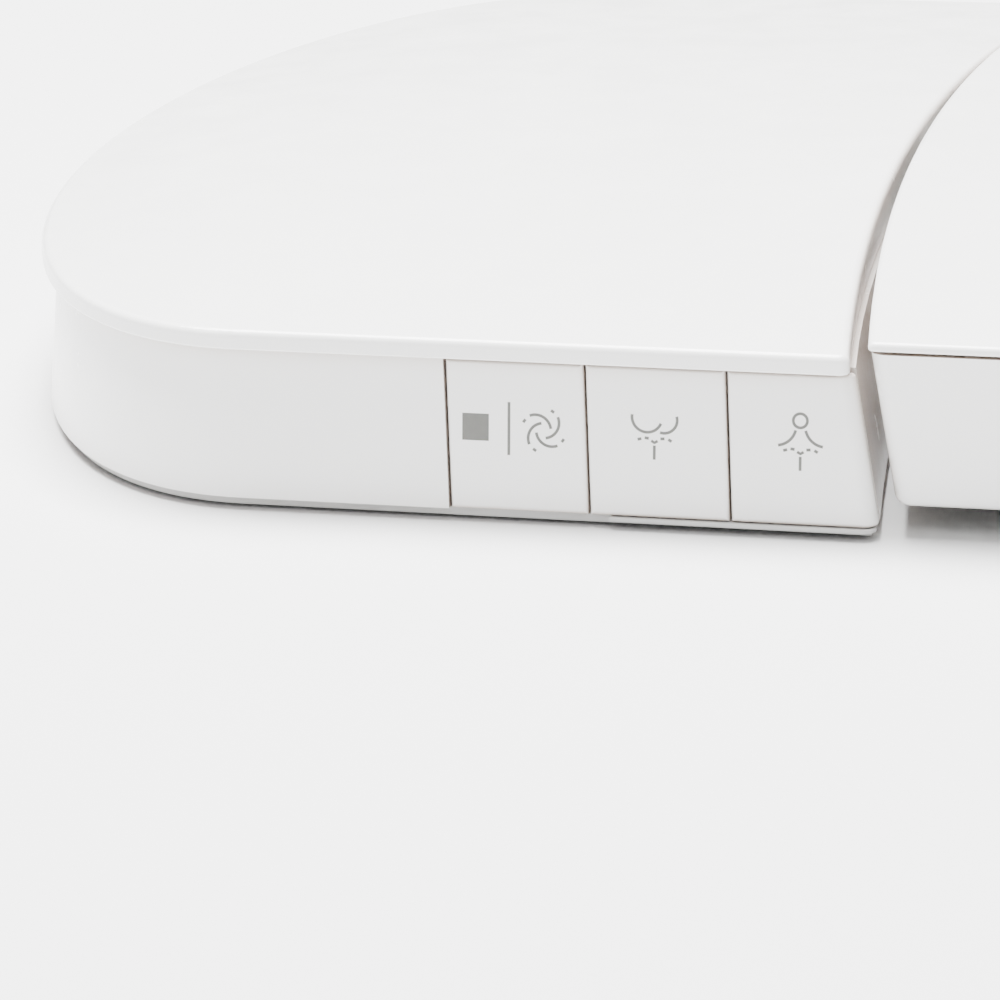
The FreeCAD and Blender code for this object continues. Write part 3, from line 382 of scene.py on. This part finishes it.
# ---- water inlet --------------------------------------------------------------------------------------
def threaded_inlet():
    """The inlet with a cut G1/2 thread, where the CAD solid has a plain cylinder."""
    low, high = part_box("inlet_connector")
    x, z, start, end = (low[0] + high[0]) / 2, (low[2] + high[2]) / 2, low[1], high[1]
    collar = (high[0] - low[0]) / 2
    major, bore = collar - 2.5 * MM, 7.0 * MM
    depth, pitch, chamfer = 1.16 * MM, 1.814 * MM, 0.4 * MM
    flange, shoulder = start + 2.9 * MM, start + 14.9 * MM
    around, per_turn = 96, 10
    plain = [(collar - chamfer, start), (collar, start + chamfer), (collar, flange - chamfer),
             (collar - chamfer, flange), (major - 0.3 * MM, flange), (major - 0.3 * MM, shoulder)]
    rings = [[radius] * around + [y] for radius, y in plain]    # radii round the axis, then Y
    for step in range(1, int((end - shoulder) / pitch * per_turn) + 1):
        y = shoulder + step * pitch / per_turn
        fade = min(1, (y - shoulder) / pitch, (end - y) / pitch + 0.4)
        turns = [(y - shoulder) / pitch - k / around for k in range(around)]
        rings.append([major - depth * fade * (0.5 - 0.5 * math.cos(2 * math.pi * t)) for t in turns] + [y])
    rings += [[major - depth] * around + [end], [bore] * around + [end], [bore] * around + [start + 1.5 * MM]]
    verts, faces = [], []
    for ring in rings:
        for k in range(around):
            angle = 2 * math.pi * k / around
            verts.append((x + ring[k] * math.cos(angle), ring[-1], z + ring[k] * math.sin(angle)))
    for row in range(len(rings) - 1):
        for k in range(around):
            a, b = row * around + k, row * around + (k + 1) % around
            faces.append((a, b, b + around, a + around))
    faces.append(tuple(range(around)))
    faces.append(tuple(range(len(verts) - around, len(verts))))
    obj = make_object("inlet_thread", verts, faces, looks["brass"])
    obj.data.set_sharp_from_angle(angle=math.radians(40))
    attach(obj, body_with("inlet_connector"))
    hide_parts("inlet_connector")


threaded_inlet()


# ---- stage, light and camera --------------------------------------------------------------------------
def floor_material():
    material, tree, shader = new_material("pale_floor", (0.72, 0.72, 0.72), 0.6)
    pattern = spread(tree, noise(tree, place(tree), 3, 2), 0, 1)
    tint(tree, shader, pattern, (0.71, 0.71, 0.71), (0.73, 0.73, 0.73))
    return material


FLOOR_HALF = 6.0
FLOOR_Z = -0.5 * MM
corners = [(x * FLOOR_HALF, y * FLOOR_HALF, FLOOR_Z) for x, y in ((-1, -1), (1, -1), (1, 1), (-1, 1))]
floor = make_object("floor", corners, [(0, 1, 2, 3)], floor_material(), smooth=False)


def soft_light(name, place_at, aim, size, power):
    data = bpy.data.lights.new(name, "AREA")
    data.shape = "RECTANGLE"
    data.size, data.size_y = size
    data.energy = power
    light = bpy.data.objects.new(name, data)
    light.location = place_at
    light.rotation_mode = "QUATERNION"
    light.rotation_quaternion = (Vector(aim) - Vector(place_at)).to_track_quat("-Z", "Y")
    bpy.context.scene.collection.objects.link(light)


soft_light("overhead", (0.25, 0.2, 1.9), (0, -0.10, 0), (1.4, 1.4), 330)
soft_light("key", (-1.9, -0.3, 1.75), (-0.1, -0.1, 0.02), (0.9, 0.9), 24)

world = bpy.data.worlds.new("studio")
world.use_nodes = True
world.node_tree.nodes["Background"].inputs["Color"].default_value = (1, 1, 1, 1)
world.node_tree.nodes["Background"].inputs["Strength"].default_value = 0.72
bpy.context.scene.world = world

CAMERA_PLACE = Vector((-1.0574, -0.2471, 0.2656))
CAMERA_LENS = 165.15        # on a sensor 36 mm wide
CAMERA_ROLL = -0.017427     # radians, about the line of sight
camera_data = bpy.data.cameras.new("camera")
camera_data.sensor_width = 36.0
camera_data.lens = CAMERA_LENS
camera_data.clip_start = 0.05
camera_data.clip_end = 50
camera = bpy.data.objects.new("camera", camera_data)
bpy.context.scene.collection.objects.link(camera)
forward = Vector((0.9326, 0.2251, -0.2822)).normalized()
right = Vector((0.2346, -0.9721, 0)).normalized()
up = right.cross(forward)
c, s = math.cos(CAMERA_ROLL), math.sin(CAMERA_ROLL)
right, up = right * c + up * s, up * c - right * s
turn = Matrix((right, up, -forward)).transposed().to_4x4()
camera.matrix_world = Matrix.Translation(CAMERA_PLACE) @ turn
bpy.context.scene.camera = camera
